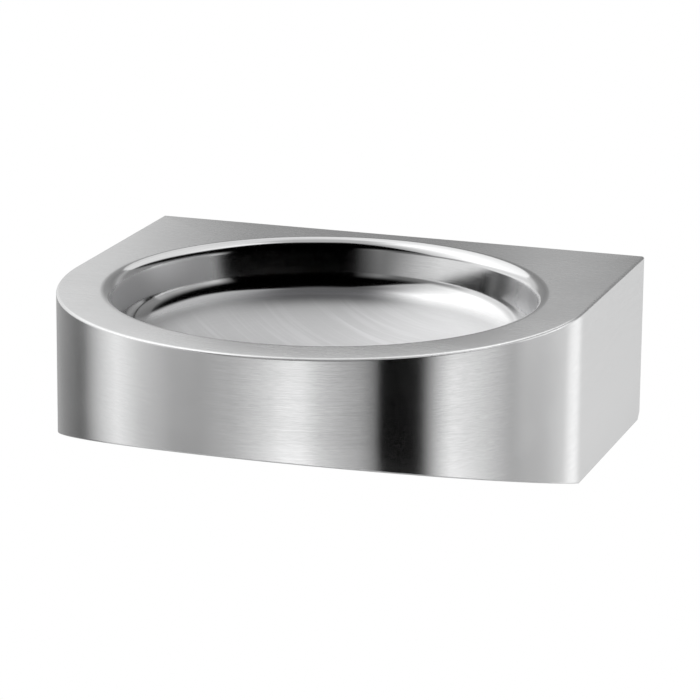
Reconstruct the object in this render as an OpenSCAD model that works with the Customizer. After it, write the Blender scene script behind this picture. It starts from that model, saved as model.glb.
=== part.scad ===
// Wall-hung hand wash basin in brushed stainless steel, with the frame that it hangs on.
// The deck is a D with its round end to the front. A drawn round bowl is let into it, and a bent
// skirt closes the sides and front. The basin hooks over a frame on the wall and is clamped below.
// X runs along the wall, Y points into the wall, Z is up. The wall's surface is y = 0, and the
// origin is the middle of the four wall fixings.

/* [Body] */
// Width of the basin along the wall, which is also the width of its round front
body_w = 390; // [330:1:480]
// Height of the basin at the wall
body_h = 128; // [106:1:160]
// Height of the skirt at the very front, where the underside has risen
front_h = 74; // [60:1:96]
// Flat land between the bowl's rolled edge and the round front
rim_land = 31; // [22:0.5:44]
// Flat strip of deck between the bowl's rolled edge and the wall
back_land = 13.5; // [12:0.5:30]
// Thickness of the deck and skirt sheet
sheet_t = 1.5; // [1:0.1:2.5]
// Radius that the deck's outer edge is dressed to
edge_round = 1.4; // [0.4:0.1:1.5]
// Width of the return folded in along the skirt's lower edge
return_w = 12; // [8:0.5:20]
// Bevel at the lower rear corners of the skirt
rear_bevel = 5; // [2:0.5:10]

/* [Bowl] */
// Thickness of the drawn bowl
bowl_t = 1.2; // [0.8:0.1:2]
// Radius of the roll from the deck down into the bowl
roll_r = 10; // [6:0.5:14]
// Lean of the bowl's wall from upright, in degrees
wall_lean = 11; // [5:1:14]
// Radius between the bowl's wall and its floor
corner_r = 22; // [14:1:28]
// Depth of the dished floor at its middle, below the deck
bowl_depth = 61; // [50:1:74]
// Rise of the dished floor from its middle out to the foot of the wall
dish_rise = 25; // [16:1:30]
// Depth of the recess that the waste flange lies in
seat_drop = 4.2; // [3:0.1:6]
// Inner radius of the sound-deadening pad under the floor
pad_inner_r = 50; // [44:1:60]
// Outer radius of the sound-deadening pad
pad_outer_r = 104; // [80:1:115]
// Thickness of the sound-deadening pad
pad_t = 2.5; // [1.5:0.1:4]

/* [Waste] */
// Outer radius of the threaded waste tail, a G 1 1/4 thread
tail_r = 20.955; // [16:0.005:26]
// Wall of the waste tail
tail_wall = 3.2; // [2:0.1:4]
// Length of the tail's lower thread, where a trap screws on
outlet_len = 36; // [24:1:50]
// Width of the waste flange outside the tail
flange_land = 10.5; // [8:0.5:14]
// Thickness of the waste flange
flange_t = 2.5; // [2:0.1:3.5]
// Thickness of the strainer grid
grid_t = 1.2; // [0.8:0.1:1.6]
// Radius of each hole in the strainer grid
grid_hole_r = 2.2; // [1.5:0.1:2.6]
// Thickness of the sealing ring under the flange
gasket_t = 1.5; // [1:0.1:2.5]
// Thickness of the rubber washer under the bowl
rubber_t = 3; // [2:0.1:4]
// Thickness of the slip washer between the rubber and the backnut
slip_t = 1.5; // [1:0.1:2]
// Height of the backnut
backnut_h = 8; // [5:0.5:12]

/* [Hanging rail and brackets] */
// Thickness of the rail, the brackets and the wall frame
plate_t = 2; // [1.5:0.1:3]
// Drop of the rail's web below the deck's top
rail_drop = 27.7; // [22:0.1:36]
// Width of the rail's flange along the deck
rail_flange = 9.7; // [8:0.1:11]
// Length of each bracket's leg along the skirt
bracket_len = 40; // [24:1:60]
// Width of each bracket's leg across the frame
bracket_w = 43; // [36:1:60]
// Height of each bracket
bracket_h = 40; // [26:1:50]

/* [Wall frame] */
// Width of the frame
frame_w = 350; // [300:1:360]
// Gap left between the frame's lower edge and the basin's underside
frame_lift = 8; // [4:0.5:14]
// Distance between the wall fixings along the wall
fix_span_x = 240; // [200:1:260]
// Distance between the wall fixings up the wall
fix_span_z = 56; // [48:1:60]
// Radius of each wall fixing hole
fix_r = 4.5; // [3:0.1:5]
// Width of the frame's window for pipes
window_w = 170; // [140:1:190]
// Height of the frame's window for pipes
window_h = 52; // [40:1:56]
// Distance of each hook's middle from the frame's middle
hook_x = 112; // [90:1:130]
// Width of each hook
hook_w = 50; // [30:1:60]
// Height of each hook's lip above its ledge
hook_lip = 12; // [8:0.5:14]

/* [Fastenings] */
// Radius of the clamping studs on the frame
stud_r = 4; // [3:0.1:5]
// Length that each clamping stud stands out of the frame
stud_len = 18; // [14:0.5:24]
// Distance between the clamping studs
stud_span = 330; // [320:1:336]
// Height of each clamping nut
nut_h = 6.5; // [4:0.1:8]
// Width of metal round the thread in each nut
nut_land = 2.5; // [2:0.1:3.5]
// Radius of the earthing stud
earth_r = 3; // [2:0.1:4]
// Length of the earthing stud
earth_len = 16; // [12:0.5:22]
// Clearance between the hung basin and the frame
hang_gap = 0.3; // [0.2:0.05:0.5]
// Clearance round a thread in its nut
thread_gap = 0.05; // [0.02:0.01:0.1]

/* [Hidden] */
$fn = 96;

// One overrun for every cut
over = 1;

// Plan of the basin: a straight part at the wall and a half circle to the front
half_w = body_w / 2;
edge_r = half_w - rim_land;
straight_len = edge_r + back_land;
body_d = straight_len + half_w;
inner_half_w = half_w - sheet_t;
underside_slope = (body_h - front_h) / half_w;

// Heights of the frame below the deck's top, and of the deck above the origin
frame_top = -(rail_drop + hang_gap);
frame_bottom = -(body_h - frame_lift);
deck_rise = -(frame_top + frame_bottom) / 2;

// Where two curves of the bowl's section blend, one laps over the other by this much
blend_lap = 0.02;

// Facets of the large circles that the dish and the pad are turned from
dish_facets = 720;

// The wall of the bowl leans in: its outward normal, and the way down along it
wall_out = [cos(wall_lean), -sin(wall_lean)];
wall_down = [-sin(wall_lean), -cos(wall_lean)];
roll_c = [edge_r, blend_lap - roll_r];
wall_top = roll_c - (roll_r - blend_lap) * wall_out;

// The dish is part of a sphere through its middle and the foot of the wall
dish_r = (pow(wall_top.x, 2) + pow(dish_rise, 2)) / (2 * dish_rise);
dish_c = [0, dish_r - bowl_depth];

// The corner's circle meets the wall and the dish from inside
corner_reach = dish_r - corner_r + blend_lap;
corner_start = wall_top - (corner_r - blend_lap) * wall_out - dish_c;
corner_along = corner_start * wall_down;
corner_level = corner_start * corner_start - pow(corner_reach, 2);
corner_drop = sqrt(pow(corner_along, 2) - corner_level) - corner_along;
corner_c = dish_c + corner_start + corner_drop * wall_down;
dish_out = (corner_c - dish_c) / corner_reach;

// The waste fits the tail's radius
tail_gap = 0.8;
tail_hole_r = tail_r + tail_gap;
tail_bore_r = tail_r - tail_wall;
flange_r = tail_r + flange_land;
seat_gap = 1.2;
seat_r = flange_r + seat_gap;
seat_z = dish_c.y - sqrt(pow(dish_r, 2) - pow(seat_r, 2)) - seat_drop;
flange_z = seat_z + gasket_t;
flange_top = flange_z + flange_t;
grid_gap = 0.2;
grid_land = 5;
grid_r = tail_bore_r + grid_land;
grid_ring_shares = [0.4, 0.74];
grid_ring_counts = [6, 12];
bridge_h = 9;
bridge_t = 3;
boss_r = 5;
grid_screw_r = 2.5;
grid_screw_len = 11;
grid_screw_head_r = 4.4;
grid_screw_head_h = 1.6;
grid_screw_key_r = 1.7;
pad_glue = 0.1;
washer_z = seat_z - bowl_t;
washer_inset = 1;
slip_z = washer_z - rubber_t;
backnut_z = slip_z - slip_t;
backnut_land = 4.8;
relief_h = 3;
relief_t = 0.9;
relief_z = backnut_z - backnut_h - relief_h;
tail_end_z = relief_z - outlet_len;

// Rail, frame and brackets share the plane that the basin hangs in
bend_r = 1;
lip_gap = 0.8;
hang_y = -(plate_t + hang_gap);
lip_y = hang_y - plate_t - lip_gap;
stud_washer_y = hang_y - plate_t - hang_gap;
stud_edge = 12;
stud_z = frame_bottom + stud_edge;
slot_gap = 0.5;
slot_below = 8;
bracket_z = stud_z - slot_below;
stud_washer_land = 4;
stud_washer_t = 1.6;
window_round = 8;
frame_round = 6;

// The earthing stud stands on the skirt's right-hand side
earth_y = -72;
earth_z = -92;
earth_washer_t = 1.6;
earth_washer_land = 3;
earth_nut_h = 5;
earth_nut_land = 2;
point_bevel = 0.8;

steel = [0.78, 0.79, 0.80];
plain_steel = [0.66, 0.68, 0.70];
plated_brass = [0.86, 0.87, 0.88];
seal_black = [0.13, 0.13, 0.14];
pad_grey = [0.32, 0.32, 0.34];
nylon_white = [0.90, 0.90, 0.87];

// Places a child whose heights count from the deck's top
module below_deck() {
    translate([0, 0, deck_rise]) children();
}

// Places a child on the bowl's axis, with heights from the deck's top
module on_bowl_axis() {
    translate([0, -straight_len, deck_rise]) children();
}

// Extrudes a shape drawn across the basin along Y, from a given y towards the front
module along_y(y, length) {
    translate([0, y, 0]) rotate([90, 0, 0]) linear_extrude(height = length) children();
}

// Extrudes a shape drawn as (y, z) along X, about the middle
module along_x(width) {
    rotate([90, 0, 90]) linear_extrude(height = width, center = true) children();
}

// Plan of the basin at a given half width: a half disc in front of a rectangle
module plan(half) {
    translate([0, -straight_len]) intersection() {
        circle(r = half);
        translate([-half, -half]) square([2 * half, half]);
    }
    translate([-half, -straight_len]) square([2 * half, straight_len]);
}

// Half of the deck's section, with its outer edge rounded
module deck_half() {
    square_w = half_w - edge_round;
    intersection() {
        union() {
            translate([0, -sheet_t]) square([square_w, sheet_t]);
            translate([square_w, -edge_round]) circle(r = edge_round);
            translate([0, -edge_round - sheet_t]) square([half_w, sheet_t]);
        }
        translate([0, -sheet_t]) square([body_w, sheet_t]);
    }
}

// The space inside the bowl up to a height, about its axis, grown outwards by a thickness
module bowl_space(grow, top) {
    dish_slack = dish_rise + grow;
    dish_side = dish_c + (dish_r + dish_slack) * dish_out;
    difference() {
        union() {
            rotate_extrude() polygon([
                [0, top], [edge_r, top], roll_c, wall_top + grow * wall_out,
                corner_c + (corner_r - blend_lap + grow) * wall_out, corner_c, [0, corner_c.y]
            ]);
            rotate_extrude() translate(corner_c) circle(r = corner_r + grow);
            rotate_extrude() intersection() {
                translate(dish_c) circle(r = dish_r + grow, $fn = dish_facets);
                polygon([[0, corner_c.y], corner_c, dish_side, [0, -bowl_depth - dish_slack]]);
            }
            translate([0, 0, seat_z - grow]) cylinder(h = corner_c.y - seat_z + grow, r = seat_r + grow);
        }
        rotate_extrude() translate(roll_c) circle(r = roll_r - grow);
    }
}

// The band between the underside and a line above it, seen from the side as (y, z)
module underside_band(height) {
    front_y = -(body_d + over);
    front_z = -body_h + underside_slope * (half_w + over);
    polygon([
        [0, -body_h], [-straight_len, -body_h], [front_y, front_z],
        [front_y, front_z + height], [-straight_len, height - body_h], [0, height - body_h]
    ]);
}

// An angle bent from plate, as (a, b): one leg along a, the other down b, rounded at the bend
module bent_angle(leg_a, leg_b, t) {
    outer_r = bend_r + t;
    translate([outer_r, -t]) square([leg_a - outer_r, t]);
    translate([0, -leg_b]) square([t, leg_b - outer_r]);
    translate([outer_r, -outer_r]) intersection() {
        difference() {
            circle(r = outer_r);
            circle(r = bend_r);
        }
        translate([-outer_r, 0]) square(outer_r);
    }
}

// A flat ring standing on a height, drawn on the axis
module ring(outer_r, inner_r, height) {
    difference() {
        cylinder(h = height, r = outer_r);
        translate([0, 0, -over]) cylinder(h = height + 2 * over, r = inner_r);
    }
}

// A hexagon nut on the axis, with a plain hole at the thread's size
module hex_nut(thread_r, land, height) {
    difference() {
        cylinder(h = height, r = (thread_r + land) / cos(30), $fn = 6);
        translate([0, 0, -over]) cylinder(h = height + 2 * over, r = thread_r + thread_gap);
    }
}

// A stud on the axis with a bevelled point
module stud(r, length) {
    cylinder(h = length - point_bevel, r = r);
    translate([0, 0, length - point_bevel]) cylinder(h = point_bevel, r1 = r, r2 = r - point_bevel);
}

// Repeats a child on the left and right
module both_sides() {
    children();
    mirror([1, 0, 0]) children();
}

// Places a child on a clamping stud's axis, which points away from the wall, at a given y
module at_stud(y) {
    translate([stud_span / 2, y, deck_rise + stud_z]) rotate([90, 0, 0]) children();
}

// Places a child on the earthing stud's axis, which points inwards, at a distance from the skirt
module at_earth(out) {
    translate([inner_half_w - out, earth_y, deck_rise + earth_z]) rotate([0, -90, 0]) children();
}

module deck_plate() {
    color(steel) below_deck() difference() {
        union() {
            along_y(0, straight_len) both_sides() deck_half();
            translate([0, -straight_len, 0]) rotate([0, 0, 180]) rotate_extrude(angle = 180) deck_half();
        }
        translate([0, -straight_len, -sheet_t - over]) cylinder(h = sheet_t + 2 * over, r = edge_r);
    }
}

module bowl() {
    color(steel) on_bowl_axis() difference() {
        intersection() {
            bowl_space(bowl_t, over);
            translate([0, 0, -2 * bowl_depth]) cylinder(h = 2 * bowl_depth, r = half_w);
        }
        bowl_space(0, 2 * over);
        translate([0, 0, -2 * bowl_depth]) cylinder(h = 2 * bowl_depth, r = tail_hole_r);
    }
}

module skirt() {
    wall_h = body_h - sheet_t;
    color(steel) below_deck() difference() {
        translate([0, 0, -body_h]) linear_extrude(height = wall_h) difference() {
            plan(half_w);
            plan(inner_half_w);
            translate([-inner_half_w, -over]) square([2 * inner_half_w, 2 * over]);
        }
        along_x(body_w + 2 * over) translate([0, -body_h]) underside_band(body_h);
        along_x(body_w + 2 * over) polygon([
            [over, -body_h - over], [over, rear_bevel + over - body_h], [-rear_bevel - over, -body_h - over]
        ]);
    }
}

module bottom_return() {
    inner = inner_half_w - return_w;
    color(steel) below_deck() difference() {
        intersection() {
            translate([0, 0, -body_h]) linear_extrude(height = body_h) difference() {
                plan(inner_half_w);
                plan(inner);
            }
            along_x(body_w) underside_band(sheet_t);
        }
        translate([-half_w, -rear_bevel, -body_h - over]) cube([body_w, rear_bevel + over, body_h]);
    }
}

module rear_rail() {
    color(steel) below_deck() translate([0, hang_y, -sheet_t]) along_x(2 * inner_half_w)
        mirror([1, 0]) bent_angle(rail_flange, rail_drop - sheet_t, plate_t);
}

module side_brackets() {
    slot_r = stud_r + slot_gap;
    color(plain_steel) both_sides() difference() {
        translate([inner_half_w, hang_y, deck_rise + bracket_z]) linear_extrude(height = bracket_h)
            mirror([1, 0]) bent_angle(bracket_w, bracket_len, plate_t);
        at_stud(hang_y + over) {
            cylinder(h = plate_t + 2 * over, r = slot_r);
            translate([-slot_r, -slot_below - over, 0])
                cube([2 * slot_r, slot_below + over, plate_t + 2 * over]);
        }
    }
}

module sound_pad() {
    color(pad_grey) on_bowl_axis() rotate_extrude() intersection() {
        translate(dish_c) difference() {
            circle(r = dish_r + bowl_t + pad_glue + pad_t, $fn = dish_facets);
            circle(r = dish_r + bowl_t + pad_glue, $fn = dish_facets);
        }
        translate([pad_inner_r, -2 * bowl_depth]) square([pad_outer_r - pad_inner_r, 2 * bowl_depth]);
    }
}

module waste_body() {
    color(plated_brass) on_bowl_axis() {
        difference() {
            union() {
                translate([0, 0, flange_z]) cylinder(h = flange_t, r = flange_r);
                translate([0, 0, tail_end_z]) cylinder(h = flange_z - tail_end_z + over, r = tail_r);
            }
            translate([0, 0, flange_top - grid_t]) cylinder(h = grid_t + over, r = grid_r + grid_gap);
            translate([0, 0, tail_end_z - over]) cylinder(h = flange_top - tail_end_z, r = tail_bore_r);
            translate([0, 0, relief_z]) ring(tail_r + over, tail_r - relief_t, relief_h);
        }
        translate([0, 0, flange_top - grid_t - bridge_h]) difference() {
            union() {
                cylinder(h = bridge_h, r = boss_r);
                for (turn = [0, 90])
                    rotate([0, 0, turn]) translate([-tail_bore_r - over, -bridge_t / 2, 0])
                        cube([2 * (tail_bore_r + over), bridge_t, bridge_h]);
            }
            translate([0, 0, -over]) cylinder(h = bridge_h + 2 * over, r = grid_screw_r + thread_gap);
        }
    }
}

module waste_grid() {
    color(steel) on_bowl_axis() translate([0, 0, flange_top - grid_t]) difference() {
        cylinder(h = grid_t, r = grid_r);
        translate([0, 0, -over]) {
            cylinder(h = grid_t + 2 * over, r = grid_screw_r + grid_gap);
            for (ring_no = [0, 1])
                for (hole = [1 : grid_ring_counts[ring_no]])
                    rotate([0, 0, hole * 360 / grid_ring_counts[ring_no]])
                        translate([grid_r * grid_ring_shares[ring_no], 0, 0])
                            cylinder(h = grid_t + 2 * over, r = grid_hole_r);
        }
    }
}

module grid_screw() {
    color(steel) on_bowl_axis() translate([0, 0, flange_top]) difference() {
        union() {
            translate([0, 0, -grid_screw_len]) cylinder(h = grid_screw_len, r = grid_screw_r);
            cylinder(h = grid_screw_head_h, r = grid_screw_head_r);
        }
        translate([0, 0, grid_screw_head_h / 2])
            cylinder(h = grid_screw_head_h, r = grid_screw_key_r, $fn = 6);
    }
}

module flange_gasket() {
    color(seal_black) on_bowl_axis() translate([0, 0, seat_z])
        ring(flange_r - washer_inset, tail_hole_r, gasket_t);
}

module rubber_washer() {
    color(seal_black) on_bowl_axis() translate([0, 0, slip_z])
        ring(flange_r + washer_inset, tail_r + grid_gap, rubber_t);
}

module slip_washer() {
    color(nylon_white) on_bowl_axis() translate([0, 0, backnut_z])
        ring(flange_r - washer_inset, tail_r + grid_gap, slip_t);
}

module backnut() {
    color(plated_brass) on_bowl_axis() translate([0, 0, backnut_z - backnut_h])
        hex_nut(tail_r, backnut_land, backnut_h);
}

module earth_stud() {
    color(plain_steel) at_earth(0) stud(earth_r, earth_len);
}

module earth_washer() {
    color(plain_steel) at_earth(0) ring(earth_r + earth_washer_land, earth_r + grid_gap, earth_washer_t);
}

module earth_nut() {
    color(plain_steel) at_earth(earth_washer_t) hex_nut(earth_r, earth_nut_land, earth_nut_h);
}

// A rectangle about a point, with corners of a given radius
module rounded(width, height, r) {
    square([width - 2 * r, height], center = true);
    square([width, height - 2 * r], center = true);
    for (sx = [-1, 1])
        for (sz = [-1, 1])
            translate([sx * (width / 2 - r), sz * (height / 2 - r)]) circle(r = r);
}

module wall_frame() {
    frame_h = frame_top - frame_bottom;
    color(plain_steel) {
        along_y(0, plate_t) difference() {
            rounded(frame_w, frame_h, frame_round);
            rounded(window_w, window_h, window_round);
            for (sx = [-1, 1])
                for (sz = [-1, 1])
                    translate([sx * fix_span_x / 2, sz * fix_span_z / 2]) circle(r = fix_r);
        }
        both_sides() translate([hook_x, lip_y - plate_t, deck_rise + frame_top - plate_t])
            along_x(hook_w) mirror([0, 1]) bent_angle(-lip_y, plate_t + hook_lip, plate_t);
    }
}

module frame_studs() {
    color(plain_steel) both_sides() at_stud(-plate_t) stud(stud_r, stud_len);
}

module stud_washers() {
    color(plain_steel) both_sides() at_stud(stud_washer_y)
        ring(stud_r + stud_washer_land, stud_r + grid_gap, stud_washer_t);
}

module stud_nuts() {
    color(plain_steel) both_sides() at_stud(stud_washer_y - stud_washer_t)
        hex_nut(stud_r, nut_land, nut_h);
}

deck_plate();
bowl();
skirt();
bottom_return();
rear_rail();
side_brackets();
sound_pad();
waste_body();
waste_grid();
grid_screw();
flange_gasket();
rubber_washer();
slip_washer();
backnut();
earth_stud();
earth_washer();
earth_nut();
wall_frame();
frame_studs();
stud_washers();
stud_nuts();
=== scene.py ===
import math
from contextlib import contextmanager

import bmesh
import bpy
from mathutils import Matrix, Vector, geometry


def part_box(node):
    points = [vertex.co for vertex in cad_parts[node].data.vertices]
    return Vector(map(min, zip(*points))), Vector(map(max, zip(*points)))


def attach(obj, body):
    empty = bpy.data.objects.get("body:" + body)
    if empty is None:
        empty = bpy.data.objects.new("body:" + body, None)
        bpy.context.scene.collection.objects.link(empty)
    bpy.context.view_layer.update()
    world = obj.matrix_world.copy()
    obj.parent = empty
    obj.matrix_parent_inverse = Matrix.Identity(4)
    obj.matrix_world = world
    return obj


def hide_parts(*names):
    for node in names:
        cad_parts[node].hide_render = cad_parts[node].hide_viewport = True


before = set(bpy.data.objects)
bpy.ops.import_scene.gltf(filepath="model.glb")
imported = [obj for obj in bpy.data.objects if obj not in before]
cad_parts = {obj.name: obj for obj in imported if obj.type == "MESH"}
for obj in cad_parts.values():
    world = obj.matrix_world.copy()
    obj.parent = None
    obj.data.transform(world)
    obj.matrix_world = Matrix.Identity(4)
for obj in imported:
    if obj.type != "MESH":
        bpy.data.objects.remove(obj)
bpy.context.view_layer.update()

MM = 0.001

# Sizes of the basin, in millimetres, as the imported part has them
HALF_W = 195.0
BODY_H = 128.0
FRONT_H = 74.0
EDGE_R = 164.0
STRAIGHT = 177.5
SHEET = 1.5
RETURN_W = 12.0
REAR_BEVEL = 5.0
DECK_Z = 74.0
BOWL_T = 1.2
ROLL_R = 10.0
WALL_LEAN = math.radians(11)
CORNER_R = 22.0
BOWL_DEPTH = 61.0
DISH_RISE = 25.0
SEAT_R = 32.655
SEAT_DROP = 4.2
OUTLET_R = 21.755
PAD_NEAR = 50.0
PAD_FAR = 104.0
PAD_T = 2.5

# Sizes of the waste
TAIL_R = 20.955
TAIL_BORE = 17.755
FLANGE_R = 31.455
GRID_R = 22.755
GRID_T = 1.2

# Sizes of the wall frame, of the angles that meet it and of their fixings
PLATE = 2.0
HANG_GAP = 0.3
HANG_Y = -(PLATE + HANG_GAP)
FRAME_SIZE = (350.0, 92.0)
WINDOW_SIZE = (170.0, 52.0)
HOLE_X = 120.0
HOLE_Z = 28.0
HOLE_R = 4.5
HOOK_X = 112.0
HOOK_W = 50.0
HOOK_TOP = 46.0
HOOK_LIP = 12.0
RAIL_LEDGE = 9.7
RAIL_DROP = 27.7
BRACKET_SIDE = 43.0
BRACKET_FACE = 40.0
STUD_X = 165.0
STUD_Z = -34.0

# Radius that the welded edge between the deck and the skirt is ground to, and the bend at its foot
DRESSED_R = 2.0
FOOT_R = 1.2

BOWL_AXIS = Matrix.Translation(Vector((0, -STRAIGHT, DECK_Z)) * MM)


class Wire:
    """An output socket that can stand in a sum, so that the maths of a finish reads as one line."""

    def __init__(self, graph, socket):
        self.graph = graph
        self.socket = socket

    def __add__(self, other):
        return self.graph.maths("ADD", self, other)

    def __radd__(self, other):
        return self.graph.maths("ADD", other, self)

    def __sub__(self, other):
        return self.graph.maths("SUBTRACT", self, other)

    def __rsub__(self, other):
        return self.graph.maths("SUBTRACT", other, self)

    def __mul__(self, other):
        return self.graph.maths("MULTIPLY", self, other)

    def __rmul__(self, other):
        return self.graph.maths("MULTIPLY", other, self)

    def __truediv__(self, other):
        return self.graph.maths("DIVIDE", self, other)

    def __mod__(self, other):
        return self.graph.maths("FLOORED_MODULO", self, other)

    def output(self, name):
        return Wire(self.graph, self.socket.node.outputs[name])


class Graph:
    """Builds a node tree, of a material, the world or a modifier, with one method for every node."""

    def __init__(self, tree):
        self.tree = tree

    def node(self, kind, sockets=None, give=0, **settings):
        """A node with its settings and then its sockets, and one of its outputs."""
        made = self.tree.nodes.new(kind)
        for name, value in settings.items():
            if name == "stops":
                self.set_stops(made.color_ramp, value)
            else:
                setattr(made, name, value)
        self.feed(made, sockets or {})
        return Wire(self, made.outputs[give] if len(made.outputs) else None)

    def feed(self, node, sockets):
        """Links or sets a node's sockets."""
        for name, value in sockets.items():
            if isinstance(value, Wire):
                self.tree.links.new(value.socket, node.inputs[name])
            else:
                node.inputs[name].default_value = value

    def set_stops(self, ramp, stops):
        while len(ramp.elements) > 1:
            ramp.elements.remove(ramp.elements[-1])
        for index, (position, level) in enumerate(stops):
            stop = ramp.elements[0] if index == 0 else ramp.elements.new(position)
            stop.position = position
            stop.color = (level, level, level, 1)

    def ramp(self, value, stops):
        return self.node("ShaderNodeValToRGB", {0: value}, stops=stops)

    def maths(self, operation, *values):
        return self.node("ShaderNodeMath", dict(enumerate(values)), operation=operation)

    def between(self, value, low, high, to_low=0.0, to_high=1.0):
        """A number that goes smoothly from one value to another while the input goes from low to high."""
        return self.node("ShaderNodeMapRange", {0: value, 1: low, 2: high, 3: to_low, 4: to_high},
                         interpolation_type="SMOOTHSTEP")

    def mix_colour(self, factor, first, second):
        return self.node("ShaderNodeMix", {0: factor, 6: first, 7: second}, 2, data_type="RGBA")

    def xyz(self, x, y, z):
        return self.node("ShaderNodeCombineXYZ", {0: x, 1: y, 2: z})

    def noise(self, vector, scale=1.0, detail=2.0, roughness=0.5):
        return self.node("ShaderNodeTexNoise",
                         {"Vector": vector, "Scale": scale, "Detail": detail, "Roughness": roughness})

    def bump(self, strength, height):
        return self.node("ShaderNodeBump", {"Strength": strength, "Distance": 0.001, "Height": height})

    def join(self, *shapes):
        """Several shapes into one, through the socket that takes them all."""
        joined_shape = self.node("GeometryNodeJoinGeometry")
        for shape in shapes:
            self.tree.links.new(shape.socket, joined_shape.socket.node.inputs[0])
        return joined_shape


class Finish(Graph):
    """A material's nodes, with its shader and the object coordinates in metres and in millimetres."""

    def __init__(self, name, slot_name=""):
        self.material = bpy.data.materials.new(name)
        self.material.use_nodes = True
        self.material["slot_name"] = slot_name
        super().__init__(self.material.node_tree)
        self.shader = self.tree.nodes["Principled BSDF"]
        self.metres = self.node("ShaderNodeTexCoord").output("Object")
        self.place = self.node("ShaderNodeVectorMath", {0: self.metres, "Scale": 1 / MM}, operation="SCALE")
        self.x = self.node("ShaderNodeSeparateXYZ", {0: self.place})
        self.y, self.z = self.x.output("Y"), self.x.output("Z")

    def shade(self, **values):
        """Links or sets the shader's sockets, whose names are written with underscores."""
        self.feed(self.shader, {name.replace("_", " "): value for name, value in values.items()})

    def fed(self, name):
        """What one of the shader's sockets takes so far."""
        return Wire(self, self.shader.inputs[name].links[0].from_socket)


STEEL_DARK = (0.60, 0.602, 0.605, 1)
STEEL_LIGHT = (0.68, 0.681, 0.683, 1)


def brushed_steel(name, slot_name, grain_of, roughness, anisotropy, depth):
    """Stainless steel with a fine grain: grain_of gives its place along, across and through the streaks."""
    steel = Finish(name, slot_name)
    along, across, other = grain_of(steel.x, steel.y, steel.z)
    broad = steel.noise(steel.xyz(along * 0.02, across * 1.5, other * 0.02), detail=3.0)
    fine = steel.noise(steel.xyz(along * 0.12, across * 4.0, other * 0.12), detail=4.0, roughness=0.65)
    streak = broad * 0.3 + fine * 0.7
    shade = steel.between(streak, 0.32, 0.68)
    worn = steel.between(steel.noise(steel.place, scale=0.012, detail=3.0), 0.3, 0.7)
    colour = steel.mix_colour(shade * 0.75 + worn * 0.25, STEEL_DARK, STEEL_LIGHT)
    steel.shade(Base_Color=colour, Metallic=1.0, Roughness=roughness + (0.5 - shade) * 0.06 + worn * 0.03,
                Anisotropic=anisotropy, Anisotropic_Rotation=0.25, Normal=steel.bump(depth, streak))
    return steel


def deck_grain(x, y, z):
    """Long lines along X over the deck."""
    return x * 0.3, y * 0.3, z


def wall_grain(x, y, z):
    """Level lines round an upright wall."""
    return x + y, z, x - y


def polar(x, y):
    """Radius, cosine and sine about the bowl's axis, in the plan."""
    from_axis = y + STRAIGHT
    radius = x.graph.maths("SQRT", x * x + from_axis * from_axis + 0.01)
    return radius, x / radius, from_axis / radius


def bowl_grain(x, y, z):
    """Circles round the bowl's axis, counted down its section."""
    radius, cosine, sine = polar(x, y)
    return cosine * 150.0, radius + z, sine * 150.0


def bowl_steel():
    """The bowl's spun finish: polished, but duller at the sides of its wall, and ground over the dish, with
    painted light and shade in its colour.
    """
    steel = brushed_steel("spun bowl steel", "bowl_steel", bowl_grain,
                          roughness=0.08, anisotropy=0.4, depth=0.004)
    # Sweeps of the polisher over the dish: arcs about a point behind the bowl's axis and right of it
    far_x, far_y = steel.x - 173.0, steel.y - 162.0
    sweep = steel.maths("SQRT", far_x * far_x + far_y * far_y)

    def sweeps(spread, pitch, detail, low, high):
        vector = steel.xyz(far_x / sweep * spread, far_y / sweep * spread, sweep * pitch)
        return steel.between(steel.noise(vector, detail=detail), low, high)

    mark = sweeps(1.6, 0.11, 2.0, 0.50, 0.68) * 0.6 + sweeps(3.0, 0.45, 3.0, 0.52, 0.72) * 0.4
    height, cosine = steel.z, polar(steel.x, steel.y)[1]
    ground = steel.between(height, 39.0, 31.0)
    inner = steel.between(height, 34.0, 24.0)
    side = steel.between(cosine, -0.74, -0.86) + steel.between(cosine, 0.66, 0.86) * 0.8
    dull = side * steel.between(height, 70.0, 66.0) * steel.between(height, 46.0, 50.0)
    # Painted shade: the dish's outer edge at the wall's foot is coloured darker over its left half
    edge = (steel.between(height, 44.0, 38.0) * steel.between(height, 27.5, 33.5)
            * steel.between(cosine, 0.28, -0.15) * steel.between(cosine, -1.0, -0.5, 0.4, 1.0))
    painted_shade_base = steel.mix_colour(edge, steel.fed("Base Color"), (0.16, 0.16, 0.165, 1))
    # Painted light: the colour lightens from the dish's foot toward its middle and at the wall's duller
    # sides; the polisher's sweeps add lighter marks in the middle
    bright = inner * 0.45 + mark * inner * 0.55 + dull * 0.9
    rough = ground * 0.34 + inner * 0.06 + dull * 0.32 + mark * ground * 0.04
    steel.shade(Base_Color=steel.mix_colour(bright, painted_shade_base, (0.84, 0.84, 0.85, 1)),
                Roughness=steel.fed("Roughness") + rough)
    return steel


def mill_steel(name, slot_name, low, high, roughness):
    """Plain cold-rolled sheet, duller than the brushed faces, with soft patches."""
    steel = Finish(name, slot_name)
    patch = steel.noise(steel.place, scale=0.05, detail=4.0, roughness=0.6)
    grit = steel.noise(steel.place, scale=1.6, detail=3.0)
    shade = steel.between(patch * 0.6 + grit * 0.4, 0.35, 0.65)
    steel.shade(Base_Color=steel.mix_colour(shade, low, high), Metallic=1.0,
                Roughness=roughness + (0.5 - shade) * 0.12, Normal=steel.bump(0.06, grit))
    return steel


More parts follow.
